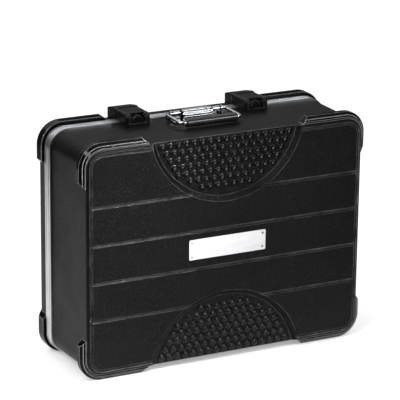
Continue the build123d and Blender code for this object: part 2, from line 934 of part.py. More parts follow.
def make_handle_bail():
    """Round bar from one barrel, along an arm, through the grip, and back."""
    grip_y = parting_y - grip_place
    grip_z = wall_top + grip_up
    wide = bail_half_width + bail_spread
    points = [
        (-bail_end, handle_pivot_y, handle_pivot_z),
        (-bail_half_width, handle_pivot_y, handle_pivot_z),
        (-wide, grip_y, grip_z),
        (wide, grip_y, grip_z),
        (bail_half_width, handle_pivot_y, handle_pivot_z),
        (bail_end, handle_pivot_y, handle_pivot_z),
    ]
    with BuildPart() as bail:
        with BuildLine() as path:
            FilletPolyline(*points, radius=bail_bend)
        with BuildSketch(Plane(origin=points[0], z_dir=(-1, 0, 0))):
            Circle(bail_radius)
        sweep(path=path.line)
    return bail.part


def make_handle_grip():
    with BuildPart() as grip:
        add(rod(grip_radius, -grip_half_length, grip_half_length, parting_y - grip_place, wall_top + grip_up))
        fillet(grip.edges().filter_by(GeomType.CIRCLE), grip_edge_radius)
        add(
            rod(bail_radius, -grip_half_length, grip_half_length, parting_y - grip_place, wall_top + grip_up),
            mode=Mode.SUBTRACT,
        )
    return grip.part


def make_handle_ferrules():
    """Bright rings on the bail at the grip's two ends."""
    y = parting_y - grip_place
    z = wall_top + grip_up
    with BuildPart() as ferrules:
        for end in (-1, 1):
            inner = end * grip_half_length
            far = end * (grip_half_length + ferrule_length)
            add(rod(ferrule_radius, min(inner, far), max(inner, far), y, z))
            add(rod(bail_radius, min(inner, far), max(inner, far), y, z), mode=Mode.SUBTRACT)
    return ferrules.part


def handle_rivet_places():
    places = []
    for end in (-1, 1):
        for place in (plate_rear + plate_rivet_inset, plate_front - plate_rivet_inset):
            x = end * (plate_width / 2 - plate_rivet_inset)
            places.append(upright_place(x, parting_y - place, wall_top + plate_thickness))
    return places


# ---- name plate and foam -----------------------------------------------------------------


def make_name_plate():
    with BuildPart() as plate:
        with BuildSketch(half_plane(LID, lid_depth)):
            with Locations((0, name_plate_up)):
                RectangleRounded(name_plate_width, name_plate_height, name_plate_corner)
        extrude(amount=name_plate_thickness)
    return plate.part


def name_rivet_places():
    places = []
    for across in (-1, 1):
        for up in (-1, 1):
            x = across * (name_plate_width / 2 - name_rivet_inset)
            z = middle_z + name_plate_up + up * (name_plate_height / 2 - name_rivet_inset)
            places.append(Location((x, parting_y - lid_depth - name_plate_thickness, z), (90, 0, 0)))
    return places


def foam_block(side, inset):
    """Block that fills one half's cavity, less an inset from its side walls."""
    depth = depths[side] - shell_wall - foam_gap
    return drafted_block(side, depth, shell_wall + foam_gap + inset, edge_radii[side])


def make_foam_pad(side, thickness, recesses):
    """Flat pad against the half's panel."""
    start = depths[side] - shell_wall - foam_gap - thickness
    with BuildPart() as pad:
        add(foam_block(side, 0))
        split(bisect_by=half_plane(side, start), keep=Keep.TOP)
        for up in recesses:
            add(moon_cone(up, shell_wall + foam_gap, moon_depth + shell_wall + foam_gap), mode=Mode.SUBTRACT)
    return pad.part


def make_foam_walls(side, pad_thickness):
    """Strips round the half's side walls, between the valance and the pad."""
    start = valance_reach + foam_gap
    end = depths[side] - shell_wall - 2 * foam_gap - pad_thickness
    with BuildPart() as strips:
        add(foam_block(side, 0))
        add(foam_block(side, foam_wall_thickness), mode=Mode.SUBTRACT)
        split(bisect_by=half_plane(side, start), keep=Keep.TOP)
        split(bisect_by=half_plane(side, end), keep=Keep.BOTTOM)
    return strips.part


# ---- the whole case ----------------------------------------------------------------------

lid_outer = drafted_block(LID, lid_depth, 0, lid_edge_radius)
base_outer = drafted_block(BASE, base_depth, 0, base_edge_radius)

wall_shank = shell_wall - rivet_tail_gap
leaf_rivet = rivet(leaf_thickness + wall_shank)
lid_hinge_rivets = rivet_set(leaf_rivet, leaf_rivet_places(LID))
base_hinge_rivets = rivet_set(leaf_rivet, leaf_rivet_places(BASE))
latch_rivets = rivet_set(
    rivet(latch_floor + wall_shank), latch_rivet_places(latch_rivet_half_pitch, -latch_rivet_place, latch_floor)
)
keeper_rivets = rivet_set(
    rivet(keeper_floor + wall_shank), latch_rivet_places(keeper_rivet_half_pitch, keeper_rivet_place, keeper_floor)
)
handle_rivets = rivet_set(rivet(plate_thickness + wall_shank), handle_rivet_places())
name_shank = name_plate_thickness + shell_wall - rivet_tail_gap
name_rivets = rivet_set(
    rivet(name_shank, name_rivet_radius, name_rivet_height, name_rivet_radius / 2), name_rivet_places()
)

lid_shell = make_lid_shell(lid_outer, [lid_hinge_rivets, latch_rivets, handle_rivets, name_rivets])
base_shell = make_base_shell(base_outer, [base_hinge_rivets, keeper_rivets])
lid_valance = make_valance(LID, lid_shell)
base_valance = make_valance(BASE, base_shell)

pieces = {
    "lid_shell": lid_shell,
    "base_shell": base_shell,
    "lid_valance": lid_valance,
    "base_valance": base_valance,
    "lid_hinge_rivets": lid_hinge_rivets,
    "base_hinge_rivets": base_hinge_rivets,
    "latch_rivets": latch_rivets,
    "keeper_rivets": keeper_rivets,
    "handle_rivets": handle_rivets,
    "name_plate_rivets": name_rivets,
}

lid_band = bumper_band(LID, lid_bumper_width, lid_outer)
base_band = bumper_band(BASE, base_bumper_width, base_outer)
for corner, (across, up) in corners.items():
    pieces["lid_bumper_" + corner] = make_bumper(lid_band, across, up)
    pieces["base_bumper_" + corner] = make_bumper(base_band, across, up)


def riveted(part, rivets):
    """A part with the holes of its rivets."""
    with BuildPart() as drilled:
        add(part)
        add(rivets, mode=Mode.SUBTRACT)
    return drilled.part


def moved_along_x(part, x):
    with BuildPart() as moved:
        with Locations((x, 0, 0)):
            add(part)
    return moved.part


lid_leaf = make_leaf(LID, lid_outer)
base_leaf = make_leaf(BASE, base_outer)
hinge_pin = rod(hinge_pin_radius, -hinge_length / 2, hinge_length / 2, parting_y, hinge_z)
for name, place in (("left", -1), ("right", 1)):
    x = place * hinge_spacing / 2
    pieces[f"hinge_{name}_lid_leaf"] = riveted(moved_along_x(lid_leaf, x), lid_hinge_rivets)
    pieces[f"hinge_{name}_base_leaf"] = riveted(moved_along_x(base_leaf, x), base_hinge_rivets)
    pieces[f"hinge_{name}_pin"] = moved_along_x(hinge_pin, x)

housing = make_latch_housing(lid_outer)
lever = make_latch_lever()
trigger = make_latch_trigger()
spring = make_trigger_spring()
keeper = make_latch_keeper(base_outer)
latch_half = latch_width / 2 - lever_pin_cover
latch_pin = rod(lever_pin_radius, -latch_half, latch_half, lever_pin_y, lever_pin_z)
for name, place in (("left", -1), ("right", 1)):
    x = place * latch_spacing / 2
    pieces[f"latch_{name}_housing"] = riveted(moved_along_x(housing, x), latch_rivets)
    pieces[f"latch_{name}_keeper"] = riveted(moved_along_x(keeper, x), keeper_rivets)
    pieces[f"latch_{name}_lever"] = moved_along_x(lever, x)
    pieces[f"latch_{name}_trigger"] = moved_along_x(trigger, x)
    pieces[f"latch_{name}_spring"] = moved_along_x(spring, x)
    pieces[f"latch_{name}_pin"] = moved_along_x(latch_pin, x)

pieces["handle_plate"] = riveted(make_handle_plate(lid_outer), handle_rivets)
pieces["handle_hump"] = make_handle_hump()
pieces["handle_left_barrel"] = make_handle_barrel(-1)
pieces["handle_right_barrel"] = make_handle_barrel(1)
pieces["handle_bail"] = make_handle_bail()
pieces["handle_grip"] = make_handle_grip()
pieces["handle_ferrules"] = make_handle_ferrules()

pieces["name_plate"] = riveted(make_name_plate(), name_rivets)
pieces["base_foam_pad"] = make_foam_pad(BASE, foam_floor_thickness, ())
pieces["base_foam_walls"] = make_foam_walls(BASE, foam_floor_thickness)
pieces["lid_foam_pad"] = make_foam_pad(LID, lid_pad_thickness, (1, -1))
pieces["lid_foam_walls"] = make_foam_walls(LID, lid_pad_thickness)

os.makedirs("parts", exist_ok=True)
for name, part in pieces.items():
    part.label = name
    export_step(part, f"parts/{name}.step")
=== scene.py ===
import json
import math

import bmesh
import bpy
from mathutils import Matrix, Vector


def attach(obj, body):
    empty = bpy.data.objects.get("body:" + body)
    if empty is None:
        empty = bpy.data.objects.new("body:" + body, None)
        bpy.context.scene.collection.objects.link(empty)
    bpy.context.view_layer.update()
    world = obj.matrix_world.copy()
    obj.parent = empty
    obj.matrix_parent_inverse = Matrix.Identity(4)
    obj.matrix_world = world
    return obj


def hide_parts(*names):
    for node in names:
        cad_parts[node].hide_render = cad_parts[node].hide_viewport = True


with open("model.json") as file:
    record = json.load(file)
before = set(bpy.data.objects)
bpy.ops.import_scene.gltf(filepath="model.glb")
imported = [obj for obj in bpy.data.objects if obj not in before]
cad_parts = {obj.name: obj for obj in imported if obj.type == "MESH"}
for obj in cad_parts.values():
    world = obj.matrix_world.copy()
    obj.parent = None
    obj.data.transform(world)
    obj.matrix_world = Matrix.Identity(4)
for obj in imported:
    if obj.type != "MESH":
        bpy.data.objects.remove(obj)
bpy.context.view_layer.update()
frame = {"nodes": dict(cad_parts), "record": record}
scene = bpy.context.scene

# Lengths are in metres and in the CAD's frame: x to the right, y to the back, z up

# Places shared with the CAD
PARTING_Y = 0.0517
MIDDLE_Z = 0.1975
PANEL_Y = PARTING_Y - 0.141
RECESS_FLOOR_Y = PANEL_Y + 0.0075
MOON_OFFSET = 0.2175  # middle of a half-moon recess, above or below the case's middle


# ---- node helpers ----------------------------------------------------------------------


class Nodes:
    """A node tree that is built in short steps."""

    def __init__(self, tree):
        self.tree = tree

    def node(self, kind, **settings):
        made = self.tree.nodes.new(kind)
        for key, value in settings.items():
            setattr(made, key, value)
        return made

    def link(self, out, to):
        self.tree.links.new(out, to)

    def maths(self, operation, first, second):
        made = self.node("ShaderNodeMath", operation=operation)
        for socket, value in zip(made.inputs, (first, second)):
            if isinstance(value, (int, float)):
                socket.default_value = value
            else:
                self.link(value, socket)
        return made.outputs["Value"]

    def seen(self):
        """1 for camera, glossy and transmission rays, 0 for the rays that light things."""
        path = self.node("ShaderNodeLightPath").outputs
        made = self.maths("MAXIMUM", path["Is Camera Ray"], path["Is Glossy Ray"])
        return self.maths("MAXIMUM", made, path["Is Transmission Ray"])

    def blended(self, factor, first, second, surface):
        """Mix two shaders into a surface socket."""
        blend = self.node("ShaderNodeMixShader")
        self.link(factor, blend.inputs["Fac"])
        self.link(first, blend.inputs[1])
        self.link(second, blend.inputs[2])
        self.link(blend.outputs["Shader"], surface)


class Material(Nodes):
    """A material with a Principled shader and object coordinates."""

    def __init__(self, name, roughness=0.5, metallic=0.0, specular=0.5, sheen=0.0):
        self.data = bpy.data.materials.new(name)
        self.data.use_nodes = True
        super().__init__(self.data.node_tree)
        self.bsdf = self.tree.nodes["Principled BSDF"]
        self.bsdf.inputs["Roughness"].default_value = roughness
        self.bsdf.inputs["Metallic"].default_value = metallic
        self.bsdf.inputs["Specular IOR Level"].default_value = specular
        self.bsdf.inputs["Sheen Weight"].default_value = sheen
        self.place = self.node("ShaderNodeTexCoord").outputs["Object"]

    def stretched(self, scale):
        mapping = self.node("ShaderNodeMapping")
        self.link(self.place, mapping.inputs["Vector"])
        mapping.inputs["Scale"].default_value = scale
        return mapping.outputs["Vector"]

    def noise(self, scale, detail=2.0, roughness=0.5, vector=None):
        made = self.node("ShaderNodeTexNoise")
        self.link(vector or self.place, made.inputs["Vector"])
        made.inputs["Scale"].default_value = scale
        made.inputs["Detail"].default_value = detail
        made.inputs["Roughness"].default_value = roughness
        return made.outputs["Fac"]

    def cells(self, scale):
        made = self.node("ShaderNodeTexVoronoi", feature="F1")
        self.link(self.place, made.inputs["Vector"])
        made.inputs["Scale"].default_value = scale
        return made.outputs["Distance"]

    def ranged(self, value, low, high, to_low=0.0, to_high=1.0):
        made = self.node("ShaderNodeMapRange")
        self.link(value, made.inputs["Value"])
        made.inputs["From Min"].default_value = low
        made.inputs["From Max"].default_value = high
        made.inputs["To Min"].default_value = to_low
        made.inputs["To Max"].default_value = to_high
        return made.outputs["Result"]

    def mixed(self, factor, first, second):
        made = self.node("ShaderNodeMix", data_type="RGBA")
        self.link(factor, made.inputs["Factor"])
        for socket, value in ((made.inputs["A"], first), (made.inputs["B"], second)):
            if isinstance(value, tuple):
                socket.default_value = (*value, 1.0)
            else:
                self.link(value, socket)
        return made.outputs["Result"]

    def rounded(self, radius):
        """Surface direction with edges rounded to a radius."""
        bevel = self.node("ShaderNodeBevel", samples=8)
        bevel.inputs["Radius"].default_value = radius
        return bevel.outputs["Normal"]

    def edges(self, radius, low=0.004, high=0.06):
        """1 on convex and concave edges within the radius, 0 on open surfaces."""
        normal = self.rounded(radius)
        geometry = self.node("ShaderNodeNewGeometry")
        dot = self.node("ShaderNodeVectorMath", operation="DOT_PRODUCT")
        self.link(normal, dot.inputs[0])
        self.link(geometry.outputs["True Normal"], dot.inputs[1])
        return self.ranged(dot.outputs["Value"], 1.0 - low, 1.0 - high)

    def hollows(self, distance):
        """0 in narrow gaps and hollows, 1 on open surfaces."""
        made = self.node("ShaderNodeAmbientOcclusion", samples=8)
        made.inputs["Distance"].default_value = distance
        return made.outputs["AO"]

    def bump(self, height, strength, distance, normal=None):
        made = self.node("ShaderNodeBump")
        self.link(height, made.inputs["Height"])
        made.inputs["Strength"].default_value = strength
        made.inputs["Distance"].default_value = distance
        if normal is not None:
            self.link(normal, made.inputs["Normal"])
        self.link(made.outputs["Normal"], self.bsdf.inputs["Normal"])

    def colour(self, value):
        self.link(value, self.bsdf.inputs["Base Color"])

    def rough(self, value):
        self.link(value, self.bsdf.inputs["Roughness"])


# ---- materials -------------------------------------------------------------------------


def moulded_plastic(name, specular, tones, grain, rough, edge):
    """Moulded plastic: pebbled grain, faint mottling, edges rubbed smooth and painted lighter as
    a highlight.
    """
    dark, light, painted_glint = tones
    grain_scale, grain_depth = grain
    edge_radius, edge_highlight_tone = edge
    made = Material(name, specular=specular)
    mottle = made.noise(scale=14.0, detail=4.0, roughness=0.6)
    pebbles = made.cells(grain_scale)
    fine = made.noise(scale=grain_scale * 0.8, detail=3.0, roughness=0.7)
    height = made.maths(
        "ADD", made.maths("MULTIPLY", pebbles, 0.6), made.maths("MULTIPLY", fine, 0.8)
    )
    made.bump(height, 1.0, grain_depth, made.rounded(edge_radius))
    patches = made.ranged(made.noise(scale=60.0, detail=3.0, roughness=0.7), 0.3, 0.65)
    rubbed_highlight = made.maths("MULTIPLY", made.edges(edge_radius), patches)
    peaks = made.maths("MULTIPLY", made.ranged(height, 0.5, 0.9), mottle)
    # Painted glints: light speckles in the colour on the grain stand in for glints of light
    base = made.mixed(made.ranged(fine, 0.56, 0.72), made.mixed(peaks, dark, light), painted_glint)
    # Painted highlight: edges go lighter in patches, standing in for light caught on rounded
    # edges; the same mask makes them smoother, as rubbed wear
    made.colour(made.mixed(rubbed_highlight, base, edge_highlight_tone))
    level = made.ranged(mottle, 0.3, 0.7, *rough)
    made.rough(made.maths("SUBTRACT", level, made.maths("MULTIPLY", rubbed_highlight, 0.15)))
    return made.data


def glossy_plastic(name, specular, tones, rough, edge):
    """Smooth glossy plastic with handling marks, a faint orange-peel and edges painted lighter in
    patches as a highlight.
    """
    edge_radius, edge_highlight_tone = edge
    made = Material(name, specular=specular)
    smudge = made.noise(scale=22.0, detail=5.0, roughness=0.62)
    scratches = made.noise(260.0, vector=made.stretched((0.15, 1.0, 1.0)))
    peel = made.maths(
        "ADD", made.noise(scale=180.0, detail=1.0), made.maths("MULTIPLY", scratches, 0.3)
    )
    made.bump(peel, 0.25, 0.0001, made.rounded(edge_radius))
    patches = made.ranged(made.noise(scale=45.0, detail=3.0, roughness=0.7), 0.15, 0.5)
    rubbed_highlight = made.maths("MULTIPLY", made.edges(edge_radius), patches)
    # Painted highlight: edges go lighter in patches, standing in for light caught on rounded
    # edges
    made.colour(made.mixed(rubbed_highlight, made.mixed(smudge, *tones), edge_highlight_tone))
    marks = made.maths("MULTIPLY", made.ranged(scratches, 0.62, 0.8), 0.12)
    made.rough(made.maths("ADD", made.ranged(smudge, 0.3, 0.75, *rough), marks))
    return made.data


def plated_metal(name, hollow_shade, tones, rough):
    """Plated or polished metal with smudges, hairline polishing marks and painted shade in its
    gaps and hollows.
    """
    made = Material(name, metallic=1.0)
    smudge = made.noise(scale=35.0, detail=5.0, roughness=0.6)
    hairline = made.noise(900.0, vector=made.stretched((0.06, 1.0, 1.0)))
    made.bump(hairline, 0.12, 0.00005)
    open_share = made.ranged(made.hollows(0.008), 0.5, 0.9)
    # Painted shade: the colour goes dark in gaps and hollows found by ambient occlusion
    made.colour(made.mixed(open_share, hollow_shade, made.mixed(smudge, *tones)))
    marks = made.maths("MULTIPLY", made.ranged(hairline, 0.6, 0.8), 0.06)
    made.rough(made.maths("ADD", made.ranged(smudge, 0.3, 0.75, *rough), marks))
    return made.data


def brushed_aluminium(name, tones, rough, depth):
    """Drawn aluminium: fine lines along x, or along z on faces that look to the side."""
    made = Material(name, metallic=1.0)
    geometry = made.node("ShaderNodeNewGeometry")
    split = made.node("ShaderNodeSeparateXYZ")
    made.link(geometry.outputs["True Normal"], split.inputs["Vector"])
    upright = made.maths("GREATER_THAN", made.maths("ABSOLUTE", split.outputs["X"], 0.0), 0.7)
    along_x = made.noise(1400.0, 3.0, 0.6, made.stretched((0.02, 1.0, 1.0)))
    along_z = made.noise(1400.0, 3.0, 0.6, made.stretched((1.0, 1.0, 0.02)))
    lines = made.node("ShaderNodeMix", data_type="FLOAT")
    made.link(upright, lines.inputs["Factor"])
    made.link(along_x, lines.inputs["A"])
    made.link(along_z, lines.inputs["B"])
    brush = lines.outputs["Result"]
    made.bump(brush, 0.35, depth)
    stain = made.ranged(made.noise(scale=26.0, detail=4.0, roughness=0.6), 0.2, 0.8, 0.6, 1.0)
    tone = made.maths("MULTIPLY", made.ranged(brush, 0.3, 0.7), stain)
    made.colour(made.mixed(tone, *tones))
    made.rough(made.ranged(brush, 0.3, 0.7, *rough))
    return made.data


def foam_material(name, tones):
    """Open-cell foam: pitted surface, soft sheen."""
    made = Material(name, roughness=0.95, specular=0.15, sheen=0.15)
    pits = made.cells(900.0)
    cloud = made.noise(scale=240.0, detail=4.0, roughness=0.7)
    height = made.maths("ADD", made.ranged(pits, 0.1, 0.6), made.maths("MULTIPLY", cloud, 0.6))
    made.bump(height, 0.8, 0.0006)
    made.colour(made.mixed(made.maths("MULTIPLY", made.ranged(pits, 0.05, 0.5), cloud), *tones))
    return made.data


def rubber_material(name, tones, rough):
    """Smooth black grip with smudges."""
    made = Material(name)
    smudge = made.noise(scale=50.0, detail=4.0, roughness=0.6)
    made.bump(made.noise(scale=700.0), 0.2, 0.0001)
    made.colour(made.mixed(smudge, *tones))
    made.rough(made.ranged(smudge, 0.3, 0.75, *rough))
    return made.data


# Tones run from dark to light, and in moulded plastic the last tone is a painted glint on the
# grain; rough is the range of roughness, grain is its scale and depth, and edge is the width of
# the rubbed edge and the tone of its painted highlight
MATERIALS = {
    "shell": moulded_plastic(
        "shell_plastic",
        specular=0.1,
        tones=((0.0006, 0.0006, 0.0007), (0.0022, 0.0022, 0.0024), (0.014, 0.014, 0.0145)),
        grain=(480.0, 0.0008),
        rough=(0.34, 0.46),
        edge=(0.0014, (0.1, 0.1, 0.102)),
    ),
    "studs": moulded_plastic(
        "stud_plastic",
        specular=0.2,
        tones=((0.001, 0.001, 0.0011), (0.003, 0.003, 0.0032), (0.008, 0.008, 0.0082)),
        grain=(520.0, 0.0001),
        rough=(0.22, 0.3),
        edge=(0.0008, (0.03, 0.03, 0.031)),
    ),
    "bumper": glossy_plastic(
        "bumper_plastic",
        specular=0.06,
        tones=((0.001, 0.001, 0.0011), (0.003, 0.003, 0.0032)),
        rough=(0.1, 0.2),
        edge=(0.0009, (0.26, 0.26, 0.265)),
    ),
    "latch": moulded_plastic(
        "latch_plastic",
        specular=0.1,
        tones=((0.002, 0.002, 0.0021), (0.004, 0.004, 0.0042), (0.008, 0.008, 0.0083)),
        grain=(1100.0, 0.0001),
        rough=(0.26, 0.36),
        edge=(0.0009, (0.06, 0.06, 0.062)),
    ),
    "chrome": plated_metal(
        "chrome_plate",
        # painted shade tone for gaps and hollows
        hollow_shade=(0.01, 0.01, 0.011),
        tones=((0.36, 0.37, 0.38), (0.48, 0.49, 0.5)),
        rough=(0.05, 0.14),
    ),
    "steel": plated_metal(
        "zinc_steel",
        # painted shade tone for gaps and hollows
        hollow_shade=(0.05, 0.05, 0.052),
        tones=((0.48, 0.48, 0.5), (0.6, 0.6, 0.62)),
        rough=(0.25, 0.4),
    ),
    "valance": brushed_aluminium(
        "edge_aluminium",
        tones=((0.55, 0.56, 0.58), (0.76, 0.77, 0.79)),
        rough=(0.28, 0.42),
        depth=0.00004,
    ),
    "plate": brushed_aluminium(
        "plate_aluminium",
        tones=((0.58, 0.58, 0.59), (0.76, 0.76, 0.77)),
        rough=(0.35, 0.5),
        depth=0.00003,
    ),
    "grip": rubber_material(
        "grip_black", tones=((0.004, 0.004, 0.0045), (0.01, 0.01, 0.011)), rough=(0.16, 0.28)
    ),
    "foam": foam_material(
        "foam_charcoal", tones=((0.018, 0.018, 0.02), (0.05, 0.05, 0.054))
    ),
}

slots = {part["node"]: part["material_slot"] for part in frame["record"]["subparts"]}
for node_name, node_object in frame["nodes"].items():
    node_object.data.materials.clear()
    node_object.data.materials.append(MATERIALS[slots[node_name]])


# ---- pieces ----------------------------------------------------------------------------


def new_piece(name, mesh_builder, material, body):
    """Mesh object from a bmesh, riding on a body, with a material slot of the record."""
    data = bpy.data.meshes.new(name)
    mesh = bmesh.new()
    mesh_builder(mesh)
    mesh.normal_update()
    mesh.to_mesh(data)
    mesh.free()
    for face in data.polygons:
        face.use_smooth = True
    piece = bpy.data.objects.new(name, data)
    scene.collection.objects.link(piece)
    piece.data.materials.append(MATERIALS[material])
    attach(piece, body)
    return piece


def bridge(mesh, first, second):
    """Faces between two closed loops of vertices."""
    count = len(first)
    for k in range(count):
        after = (k + 1) % count
        mesh.faces.new((first[k], first[after], second[after], second[k]))


# ---- studs of the half-moon recesses -----------------------------------------------------

STUD_PITCH = 0.0144
STUD_ROW_PITCH = 0.01247
STUD_RADIUS = 0.0067
STUD_HEIGHT = 0.0030
STUD_FIRST_ROW = 0.0907  # from the case's middle
STUD_ROWS = 8
STUD_FIELD_RADIUS = 0.1268
STUD_SEGMENTS = 20
# Share of the radius, and height above the recess floor; the first ring sinks into the floor
STUD_RINGS = (
    (1.0, -0.0006), (1.0, 0.0), (0.97, 0.0007), (0.86, 0.0015), (0.66, 0.0023), (0.38, 0.0028),
)


def stud_centres(up):
    places = []
    for row in range(STUD_ROWS):
        level = STUD_FIRST_ROW + row * STUD_ROW_PITCH
        shift = STUD_PITCH / 2 if row % 2 == 0 else 0.0
        reach = math.sqrt(max(STUD_FIELD_RADIUS**2 - (MOON_OFFSET - level) ** 2, 0.0))
        count = int(reach / STUD_PITCH) + 2
        for column in range(-count, count + 1):
            across = column * STUD_PITCH + shift
            if abs(across) <= reach:
                places.append((across, MIDDLE_Z + up * level))
    return places


def stud_field(up):
    """Low domes with a skirt that sinks into the recess floor."""
    turns = [2 * math.pi * k / STUD_SEGMENTS for k in range(STUD_SEGMENTS)]

    def build(mesh):
        for x, z in stud_centres(up):
            loops = []
            for share, height in STUD_RINGS:
                radius = STUD_RADIUS * share
                y = RECESS_FLOOR_Y - height
                loops.append([
                    mesh.verts.new((x + radius * math.cos(turn), y, z + radius * math.sin(turn)))
                    for turn in turns
                ])
            top = mesh.verts.new((x, RECESS_FLOOR_Y - STUD_HEIGHT, z))
            for low, high in zip(loops, loops[1:]):
                bridge(mesh, low, high)
            for first, second in zip(loops[-1], loops[-1][1:] + loops[-1][:1]):
                mesh.faces.new((first, second, top))

    return build


for up, name in ((1, "upper"), (-1, "lower")):
    new_piece(f"studs_{name}", stud_field(up), "studs", "lid")


# ---- foam lining: modelled pads and strips that stand for the CAD's plain ones ------------

LEAN = math.tan(math.radians(1.0))  # draft of the shells' walls
SHELL_HALF = (0.253, 0.189)
SHELL_CORNER = 0.030
FOAM_INSET = 0.0035  # shell wall and gap

LID, BASE = -1, 1  # side of the parting plane, along y
LID_PAD_BACK = 0.1374  # depths from the parting plane
BASE_PAD_BACK = 0.0361
PAD_CLEARANCE = 0.0006
PAD_RIM = 0.007  # width over which a pad thins out
PAD_RIM_SHARE = 0.55  # thickness left at the rim
PAD_WELD = 0.00002

CRATE_PITCH = 0.034
CRATE_THICKNESS = 0.0152
CRATE_WAVE = 0.0046
RECESS_RADIUS = 0.1452  # where a recess begins to stand into the lid's pad
RECESS_SLOPE = 0.0085
RECESS_RISE = 0.0076

FLAT_PITCH_X = 0.118
FLAT_PITCH_Z = 0.122
FLAT_THICKNESS = 0.0073
FLAT_WAVE = 0.0006

STRIP_START = 0.0104
LID_STRIP_END = 0.1170
BASE_STRIP_END = 0.0277
STRIP_THICKNESS = 0.0078
STRIP_CLEARANCE = 0.0002
STRIP_EDGE = 0.006  # length of a rounded long edge
CORNER_STEPS = 8


def foam_extent(depth, inset):
    """Half width, half height and corner radius of the lining at a depth."""
    shrink = FOAM_INSET + inset + depth * LEAN
    return SHELL_HALF[0] - shrink, SHELL_HALF[1] - shrink, SHELL_CORNER - FOAM_INSET - inset


def half_width_at(level, half_x, half_z, corner):
    """Half width of a rounded rectangle at a level from its middle."""
    past = abs(level) - (half_z - corner)
    if past <= 0.0:
        return half_x
    return half_x - corner + math.sqrt(max(corner**2 - past**2, 0.0))


def pad_builder(side, back_depth, columns, rows, thickness_at, back_at):
    """Pad of a half: a front sheet of varying thickness, a back sheet and a rounded rim."""
    half_x, half_z, corner = foam_extent(back_depth, PAD_CLEARANCE)

    def build(mesh):
        front, rear = [], []
        for row in range(rows + 1):
            level = -half_z + 2 * half_z * row / rows
            reach = half_width_at(level, half_x, half_z, corner)
            front.append([])
            rear.append([])
            for column in range(columns + 1):
                across = -reach + 2 * reach * column / columns
                rim = min(reach - abs(across), half_z - abs(level))
                soft = 1.0 - (1.0 - min(rim / PAD_RIM, 1.0)) ** 2
                share = PAD_RIM_SHARE + (1.0 - PAD_RIM_SHARE) * soft
                thick = thickness_at(across, level) * share
                for sheet, depth in ((front, back_depth - thick), (rear, back_at(across, level))):
                    y = PARTING_Y + side * depth
                    sheet[-1].append(mesh.verts.new((across, y, MIDDLE_Z + level)))
        for row in range(rows):
            for column in range(columns):
                for sheet in (front, rear):
                    low, high = sheet[row], sheet[row + 1]
                    mesh.faces.new((low[column], low[column + 1], high[column + 1], high[column]))
        ring = [(0, c) for c in range(columns)] + [(r, columns) for r in range(rows)]
        ring += [(rows, c) for c in range(columns, 0, -1)] + [(r, 0) for r in range(rows, 0, -1)]
        bridge(mesh, [front[r][c] for r, c in ring], [rear[r][c] for r, c in ring])
        bmesh.ops.remove_doubles(mesh, verts=mesh.verts, dist=PAD_WELD)
        bmesh.ops.recalc_face_normals(mesh, faces=mesh.faces)

    return build


def wave_at(across, level, pitch_x, pitch_z):
    """Square pattern of crests and hollows, from 1 to -1."""
    return math.cos(2 * math.pi * across / pitch_x) * math.cos(2 * math.pi * level / pitch_z)


def crate_thickness(across, level):
    """Egg-crate foam: rounded peaks and dimples in a square pattern."""
    return CRATE_THICKNESS + CRATE_WAVE * wave_at(across, level, CRATE_PITCH, CRATE_PITCH)


def recess_back(across, level):
    """Back of the lid's pad, hollowed where the half-moon recesses stand in."""
    reach = min(math.hypot(across, MOON_OFFSET - level), math.hypot(across, MOON_OFFSET + level))
    share = min(max((RECESS_RADIUS - reach) / RECESS_SLOPE, 0.0), 1.0)
    return LID_PAD_BACK - RECESS_RISE * share


def flat_thickness(across, level):
    """Low swelling of a flat pad that is glued down in spots."""
    return FLAT_THICKNESS + FLAT_WAVE * wave_at(across, level, FLAT_PITCH_X, FLAT_PITCH_Z)


def flat_back(across, level):
    """Plain back of the base's pad."""
    return BASE_PAD_BACK


def strip_profile(length):
    """Rise of the free face and place along the depth, as shares, across the strip."""
    edge = STRIP_EDGE / length
    half = [(0.0, 0.0), (0.62, 0.0), (0.86, 0.1 * edge), (0.95, 0.32 * edge), (0.99, 0.3)]
    return half + [(1.0, 0.5)] + [(rise, 1.0 - share) for rise, share in reversed(half)]


def strip_builder(side, end):
    """Strip round the side walls, its free face slightly swollen and its long edges rounded."""
    length = end - STRIP_START

    def build(mesh):
        loops = []
        for rise, share in strip_profile(length):
            depth = STRIP_START + length * share
            inset = STRIP_CLEARANCE + rise * STRIP_THICKNESS
            half_x, half_z, corner = foam_extent(depth, inset)
            loop = []
            for turn in range(4):
                centre_x = (half_x - corner) * (1 if turn in (0, 3) else -1)
                centre_z = (half_z - corner) * (1 if turn in (0, 1) else -1)
                for step in range(CORNER_STEPS + 1):
                    angle = math.pi / 2 * (turn + step / CORNER_STEPS)
                    loop.append(mesh.verts.new((
                        centre_x + corner * math.cos(angle),
                        PARTING_Y + side * depth,
                        MIDDLE_Z + centre_z + corner * math.sin(angle),
                    )))
            loops.append(loop)
        for first, second in zip(loops, loops[1:] + loops[:1]):
            bridge(mesh, first, second)
        bmesh.ops.recalc_face_normals(mesh, faces=mesh.faces)

    return build


def foam_piece(name, builder, body, node):
    piece = new_piece(name, builder, "foam", body)
    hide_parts(node)


lid_pad = pad_builder(LID, LID_PAD_BACK, 150, 112, crate_thickness, recess_back)
base_pad = pad_builder(BASE, BASE_PAD_BACK, 84, 64, flat_thickness, flat_back)
foam_piece("lid_pad", lid_pad, "lid", "lid_foam_pad")
foam_piece("lid_strips", strip_builder(LID, LID_STRIP_END), "lid", "lid_foam_walls")
foam_piece("base_pad", base_pad, "base", "base_foam_pad")
foam_piece("base_strips", strip_builder(BASE, BASE_STRIP_END), "base", "base_foam_walls")


# ---- camera ----------------------------------------------------------------------------

